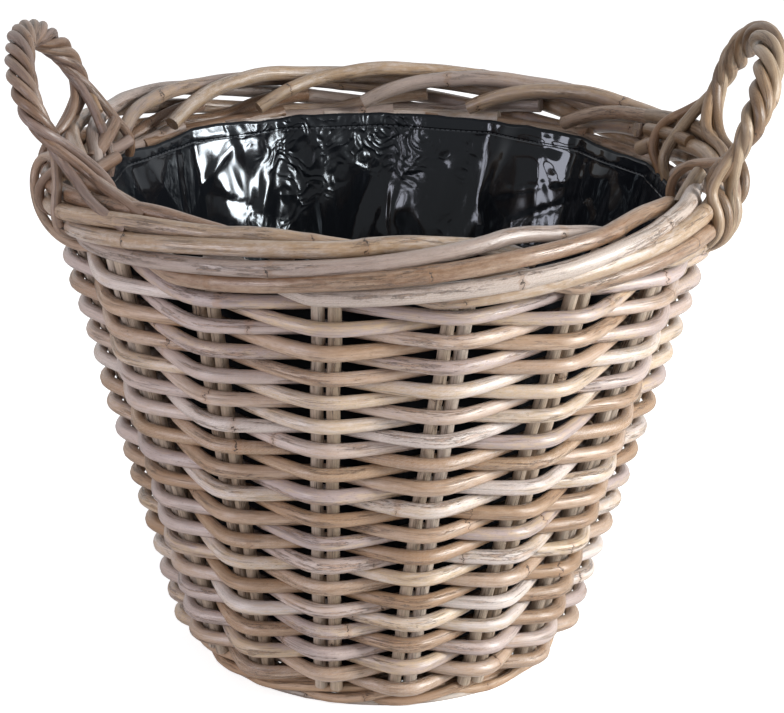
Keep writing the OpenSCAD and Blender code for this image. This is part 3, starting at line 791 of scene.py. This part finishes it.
def strand_line(name, handle, s, chance):
    """A whole strand: its tail at the front leg, its winding and its tail at the back leg."""
    path = arch_path(handle)
    count = handle["strands"]
    length = sum((b - a).length for a, b in zip(path, path[1:]))
    places = round(count * length / handle["pitch"])
    out = Vector((handle["side"] * cosine(handle["lean"]), 0, -sine(handle["lean"])))
    phase = chance.uniform(0, 360)
    winding = []
    for i, middle in enumerate(path):
        ahead = (path[min(i + 1, ARCH_STATIONS)] - path[max(i - 1, 0)]).normalized()
        across = ahead.cross(out)
        share = (i - ARCH_CUT) / (ARCH_STATIONS - 2 * ARCH_CUT)
        turn = (360 / count * (s - places * share)
                - handle["twist_ease"] * math.sin(2 * math.pi * share)
                + TWIST_WANDER * sine(540 * share + phase))
        loose = handle["wind_r"] * (1 + WIND_LOOSE * sine(900 * share + 2 * phase))
        winding.append(middle + loose * (cosine(turn) * out + sine(turn) * across))
    front = [rim_spot(*spot) for spot in TAILS[name, 0][s]]
    back = [rim_spot(*spot) for spot in TAILS[name, 1][(s - places) % count]]
    wound = winding[ARCH_CUT:ARCH_STATIONS - ARCH_CUT + 1:ARCH_STRIDE]
    return relax(smooth_path(front[::-1] + wound + back, STRAND_SPACING), (wound[0], wound[-1]))


for name, handle in HANDLES.items():
    chance = random.Random(handle["seed"] + 1)
    bm = bmesh.new()
    handle_cane = cane_material(f"{name}_handle_cane", HANDLE_SHADES_AND_PAINTED_LIGHT[name], srgb(132, 96, 66),
                                srgb(52, 36, 26), roughness=0.34, cracks=0.5)
    for s in range(handle["strands"]):
        line = strand_line(name, handle, s, chance)
        lay_cane(bm, line, handle["strand_r"] + chance.uniform(-0.0002, 0.0002), chance,
                 upright=False)
    for thick, route in STUBS:
        if route[0][0] * handle["side"] > 0:
            line = relax(smooth_path([rim_spot(*spot) for spot in route], STRAND_SPACING))
            lay_cane(bm, line, thick, chance, upright=False)
    finish_canes(bm, f"{name}_handle_canes", f"{name}_handle_strands", slot="handle_cane",
                 material=handle_cane)
    bm = bmesh.new()
    for owner, leaves, outwards, thick, route in BINDINGS:
        if owner == name:
            start = arch_point(handle, leaves) + Vector((handle["side"] * outwards, 0, 0))
            spots = [start] + [rim_spot(*spot) for spot in route]
            line = relax(smooth_path(spots, STRAND_SPACING))
            lay_cane(bm, line, thick, chance, upright=False)
    finish_canes(bm, f"{name}_bindings", slot="handle_cane", material=binding_cane)

# ------------------------------------------------------------
# Liner: a cup of glossy black plastic film, stapled inside the wall below the border. It lies in
# broad smooth panels from staple to staple, with sharp creases, crumples and a stitched hem.

LINER_NODE = "liner"
LINER_INSET, LINER_LOW_Z, LINER_TOP_Z = 0.0143, 0.0192, 0.3240
FILM_T, HEM_H = 0.0004, 0.009
AROUND, UP_WALL, ACROSS_BASE = 440, 92, 10
FILM_MIDDLE_R, FILM_CORNER, WALL_CROWDING = 0.19, 0.006, 0.8
# So far up from its lowest point the film is mapped from above, and then round the wall
BASE_FLAT_H = 0.002
STAPLE_STEP, CREASES = 22.5, 84
SLACK_TOP_Z, SLACK_H, LEAST_SLACK = 0.334, 0.03, 0.3
BILLOW, BROAD_WAVE, SMALL_WAVE = 0.0020, 0.0030, 0.0012
HEM_PROUD, FILM_CLEAR, BASE_CRUMPLE = 0.0006, 0.001, 0.0016
EDGE_SWELL, EDGE_RIPPLE = 0.0034, 0.001
STITCHES_PER_M, STITCH_SHARE = 260, 0.6


def soft_noise(spots, scale, offset):
    """Smooth noise from about -1 to 1 at each spot, so many waves to the unit."""
    return np.array([noise.noise(Vector(s) * scale + Vector(offset)) for s in spots])


def edge_noise(angle, waves, offset):
    """The same noise at an angle of the film's edge, on which it closes without a step."""
    return noise.noise(Vector((waves * sine(angle), waves * cosine(angle), offset)))


chance = random.Random(131)
# Sharp creases, long upright ones and then short slanting ones: middle in degrees and metres up,
# lean in metres along per metre up, half length, half width and depth
film_creases = [
    (chance.uniform(0, 360), chance.uniform(0.05, 0.32), chance.gauss(0, 0.35),
     chance.uniform(0.03, 0.12), chance.uniform(0.003, 0.011),
     chance.uniform(0.0006, 0.0028) * chance.choice((-1, 1)))
    for _ in range(CREASES)
] + [
    (chance.uniform(0, 360), chance.uniform(0.14, 0.31), chance.choice((-3, 3)) * chance.random(),
     chance.uniform(0.012, 0.03), chance.uniform(0.002, 0.005),
     chance.uniform(0.0004, 0.0012) * chance.choice((-1, 1)))
    for _ in range(CREASES)
]


def film_depth(angles, heights):
    """How far the film stands in from the wall, in metres, at each angle and height."""
    radius = stake_radius(heights) - LINER_INSET
    half = math.radians(STAPLE_STEP / 2)
    away = np.radians(angles % STAPLE_STEP) - half
    sag = radius * (1 - math.cos(half) / np.cos(away))
    slack = np.clip((SLACK_TOP_Z - heights) / SLACK_H, LEAST_SLACK, 1)
    billow = BILLOW * np.cos(away / half * math.pi / 2) ** 2
    spots = np.stack([np.sin(np.radians(angles)), np.cos(np.radians(angles)), heights * 3], 1)
    broad = (BROAD_WAVE * soft_noise(spots, 2.2, (3, 7, 1))
             + SMALL_WAVE * soft_noise(spots, 5.0, (8, 1, 4)))
    creased = np.zeros(len(angles))
    for middle, level, lean, length, width, depth in film_creases:
        along = ((angles - middle + 180) % 360 - 180) * math.radians(1) * FILM_MIDDLE_R
        up = heights - level
        window = np.exp(-((up / length) ** 4))
        creased += depth * window * np.exp(-np.abs(along - lean * up) / width)
    hem = HEM_PROUD * (heights > LINER_TOP_Z - HEM_H)
    return sag + slack * (billow + broad + creased) + hem + FILM_CLEAR


def film_material():
    """Black film: nearly a mirror, broken into flat facets and fine crumples, with a stitched
    hem. Its outer side, which touches the canes, has a rougher, weaker reflection as painted
    shade that keeps the gaps between the canes dark; the film itself is alike on both sides."""
    material, tree = blank_material("liner_film")
    coords = place(tree, "ShaderNodeTexCoord")
    where = coords.outputs["Object"]
    uv = place(tree, "ShaderNodeUVMap", uv_map="UVMap").outputs[0]
    line = place(tree, "ShaderNodeSeparateXYZ", {0: uv})

    def vectors(operation, *terms):
        """The result of one sum with vectors."""
        made = place(tree, "ShaderNodeVectorMath", dict(enumerate(terms)), operation=operation)
        return made.outputs["Value" if operation == "DOT_PRODUCT" else "Vector"]

    def facets(across, up, offset, metres):
        """A surface of flat tilted facets, so many to the metre across and up."""
        spot = vectors("MULTIPLY_ADD", uv, (across, up, 1), (offset, 0, 0))
        sway = place(tree, "ShaderNodeTexNoise", {"Vector": spot, "Scale": 1.3, "Detail": 2.0})
        spot = vectors("MULTIPLY_ADD", sway.outputs["Color"], (0.9, 0.9, 0), spot)
        cell = place(tree, "ShaderNodeTexVoronoi", {"Vector": spot, "Scale": 1.0})
        tilt = vectors("SUBTRACT", cell.outputs["Color"], (0.5, 0.5, 0.5))
        inside = vectors("SUBTRACT", spot, cell.outputs["Position"])
        return calc(tree, "MULTIPLY", vectors("DOT_PRODUCT", tilt, inside), metres)

    crumpled = place(tree, "ShaderNodeTexNoise", {"Vector": where, "Scale": 9.0, "Detail": 2.0})
    patchy = fade(tree, crumpled.outputs["Fac"], 0.46, 0.60)
    stretched = place(tree, "ShaderNodeMapping", {"Vector": uv, "Scale": (19, 7, 1)})
    wave = place(tree, "ShaderNodeTexNoise", {
        "Vector": stretched.outputs[0], "Scale": 1.0, "Detail": 2.0, "Roughness": 0.45,
        "Distortion": 0.8}).outputs["Fac"]
    wrinkle = place(tree, "ShaderNodeTexNoise", {
        "Vector": where, "Scale": 55.0, "Detail": 1.0, "Distortion": 1.5}).outputs["Fac"]
    wrinkle = calc(tree, "ABSOLUTE", calc(tree, "SUBTRACT", wrinkle, 0.5))
    height = calc(tree, "MULTIPLY_ADD", wave, 0.0080, facets(14, 6, 3, 0.0017))
    small = calc(tree, "MULTIPLY_ADD", wrinkle, -0.0035, facets(48, 26, 9, 0.0007))
    height = calc(tree, "MULTIPLY_ADD", small, patchy, height)
    below = calc(tree, "ABSOLUTE", calc(tree, "SUBTRACT", line.outputs[1], LINER_TOP_Z - HEM_H))
    run = calc(tree, "MULTIPLY", line.outputs[0], STITCHES_PER_M)
    dash = calc(tree, "LESS_THAN", calc(tree, "FRACT", run), STITCH_SHARE)
    stitch = calc(tree, "MULTIPLY", fade(tree, below, 0.0002, 0.0007, 1, 0), dash)
    seam = fade(tree, below, 0.0004, 0.0012, 1, 0)
    height = calc(tree, "MULTIPLY_ADD", seam, -0.0004, height)
    bump = place(tree, "ShaderNodeBump", {"Strength": 1.0, "Distance": 1.0, "Height": height})
    # Painted shade: the outer side gets a rougher, weaker reflection so the gaps between the canes
    # stay dark.
    outward = vectors("DOT_PRODUCT", coords.outputs["Normal"], where)
    outer_side_painted_shade = calc(tree, "GREATER_THAN", outward, 0.02)
    rough = fade(tree, crumpled.outputs["Fac"], 0.35, 0.65, 0.06, 0.24)
    rough = calc(tree, "MULTIPLY_ADD", outer_side_painted_shade, 0.5, rough)
    tint = blend_colours(tree, calc(tree, "MULTIPLY", stitch, 0.7), srgb(18, 20, 24),
                         srgb(64, 66, 70))
    # Specular Tint makes every reflection in the film bluish: a painted colour of the light that
    # the film mirrors.
    shader = place(tree, "ShaderNodeBsdfPrincipled", {
        "Base Color": tint, "Roughness": rough, "Normal": bump.outputs[0], "IOR": 1.5,
        "Specular Tint": (0.87, 0.93, 1.0, 1.0),
        "Specular IOR Level": calc(tree, "MULTIPLY_ADD", outer_side_painted_shade, -0.35, 0.55)})
    place(tree, "ShaderNodeOutputMaterial", {0: shader.outputs[0]})
    return material


angles = 360 * np.arange(AROUND) / AROUND
edge_z = np.array([
    EDGE_SWELL * edge_noise(a, 3, 0) + EDGE_RIPPLE * edge_noise(a, 14, 4) for a in angles
])
base_r = stake_radius(LINER_LOW_Z) - LINER_INSET - FILM_CORNER
bm = bmesh.new()
uv_layer = bm.loops.layers.uv.new("UVMap")
rings = []
for i in range(1, ACROSS_BASE + 1):
    radius = base_r * i / ACROSS_BASE
    spots = [on_circle(radius, a, 0) for a in angles]
    lift = BASE_CRUMPLE * np.abs(soft_noise(spots, 24, (5, 2, 0)))
    rings.append([bm.verts.new(on_circle(radius, a, LINER_LOW_Z + dz))
                  for a, dz in zip(angles, lift)])
for share in np.linspace(0, 1, UP_WALL + 1)[1:] ** WALL_CROWDING:
    heights = LINER_LOW_Z + (LINER_TOP_Z + edge_z - LINER_LOW_Z) * share
    radii = stake_radius(heights) - LINER_INSET - film_depth(angles, heights)
    rings.append([bm.verts.new(on_circle(r, a, z)) for r, a, z in zip(radii, angles, heights)])
middle = bm.verts.new((0, 0, LINER_LOW_Z))
girth = 2 * math.pi * FILM_MIDDLE_R
for i in range(AROUND):
    j = (i + 1) % AROUND
    bm.faces.new((rings[0][j], rings[0][i], middle))
    for low, high in zip(rings, rings[1:]):
        bm.faces.new((low[j], high[j], high[i], low[i]))
for face in bm.faces:
    face.smooth = True
    if max(loop.vert.co.z for loop in face.loops) < LINER_LOW_Z + BASE_FLAT_H:
        for loop in face.loops:
            loop[uv_layer].uv = (loop.vert.co.x, loop.vert.co.y - 1)
        continue
    turns = [math.atan2(loop.vert.co.x, -loop.vert.co.y) / (2 * math.pi) % 1 for loop in face.loops]
    for loop, turn in zip(face.loops, turns):
        if max(turns) - turn > 0.5:
            turn += 1
        loop[uv_layer].uv = (turn * girth, loop.vert.co.z)
bmesh.ops.recalc_face_normals(bm, faces=bm.faces)
bmesh.ops.solidify(bm, geom=bm.faces[:], thickness=FILM_T)
liner = add_object(bm, "liner_film", film_material())
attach(liner, "root")
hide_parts(LINER_NODE)

# ------------------------------------------------------------
# Stage: a white floor and a white backdrop, a soft key lamp at the right, a weak fill lamp at
# the left, and the camera in front.

CAMERA_AT, CAMERA_AIM = Vector((0, -1.945, 0.8922)), Vector((0, 0, 0.175))
CAMERA_LENS, CAMERA_SHIFT, CAMERA_ROLL = 139.05, (0.0148, 0.0521), 1.17
FLOOR_R, FLOOR_GLOW, FLOOR_WHITE = 6.0, 0.72, (0.8, 0.8, 0.8, 1)
AIR_LEVEL, FRONT_GLOW, ROOM_FADE = 0.38, 0.34, (-0.3, 0.2)
LAMP_AIM = Vector((0, 0, 0.2))


def stage_material():
    """A white surface that shows the camera little but the shadows on it."""
    material, tree = blank_material("stage")
    rays = place(tree, "ShaderNodeLightPath")
    glow = place(tree, "ShaderNodeEmission", {"Color": (1, 1, 1, 1), "Strength": FLOOR_GLOW})
    matt = place(tree, "ShaderNodeBsdfDiffuse", {"Color": FLOOR_WHITE})
    both = place(tree, "ShaderNodeAddShader", {0: glow.outputs[0], 1: matt.outputs[0]})
    mixed = place(tree, "ShaderNodeMixShader",
                  {0: rays.outputs["Is Camera Ray"], 1: matt.outputs[0], 2: both.outputs[0]})
    place(tree, "ShaderNodeOutputMaterial", {0: mixed.outputs[0]})
    return material


bm = bmesh.new()
bmesh.ops.create_circle(bm, cap_ends=True, radius=FLOOR_R, segments=64)
floor = add_object(bm, "floor", stage_material())

# The white backdrop stands behind the basket; the room in front of it is dim
world = bpy.data.worlds.new("surround")
bpy.context.scene.world = world
world.use_nodes = True
tree = world.node_tree
tree.nodes.clear()
rays = place(tree, "ShaderNodeLightPath")
bounced = calc(tree, "ADD", rays.outputs["Is Glossy Ray"], rays.outputs["Is Transmission Ray"],
               clamp=True)
heading = place(tree, "ShaderNodeSeparateXYZ",
                {0: place(tree, "ShaderNodeTexCoord").outputs["Generated"]}).outputs[1]
mirrored = fade(tree, heading, *ROOM_FADE, FRONT_GLOW, 1.0)
level = calc(tree, "MULTIPLY_ADD", bounced, calc(tree, "SUBTRACT", mirrored, AIR_LEVEL), AIR_LEVEL)
level = calc(tree, "MULTIPLY_ADD", rays.outputs["Is Camera Ray"],
             calc(tree, "SUBTRACT", 1.0, level), level)
air = place(tree, "ShaderNodeBackground", {"Color": (1, 1, 1, 1), "Strength": level})
place(tree, "ShaderNodeOutputWorld", {0: air.outputs[0]})


def soft_lamp(name, spot, size, watts, colour):
    """A soft rectangular lamp that shines from its spot towards the basket."""
    lamp = bpy.data.lights.new(name, "AREA")
    lamp.shape = "RECTANGLE"
    lamp.size, lamp.size_y = size
    lamp.energy = watts
    lamp.color = colour
    holder = bpy.data.objects.new(name, lamp)
    holder.location = spot
    holder.rotation_euler = (LAMP_AIM - Vector(spot)).to_track_quat("-Z", "Y").to_euler()
    bpy.context.scene.collection.objects.link(holder)


soft_lamp("key", spot=(1.74, -0.72, 0.92), size=(0.46, 1.1), watts=58, colour=(0.972, 1.0, 1.0))
soft_lamp("fill", spot=(-1.5, -1.2, 0.7), size=(0.8, 0.9), watts=17, colour=(0.95, 0.92, 1.0))

lens = bpy.data.cameras.new("camera")
lens.lens = CAMERA_LENS
lens.shift_x, lens.shift_y = CAMERA_SHIFT
camera = bpy.data.objects.new("camera", lens)
look = (CAMERA_AIM - CAMERA_AT).to_track_quat("-Z", "Y").to_matrix()
roll = Matrix.Rotation(math.radians(CAMERA_ROLL), 3, "Z")
camera.matrix_world = Matrix.Translation(CAMERA_AT) @ (look @ roll).to_4x4()
bpy.context.scene.collection.objects.link(camera)
bpy.context.scene.camera = camera
bpy.context.scene.view_settings.view_transform = "Standard"
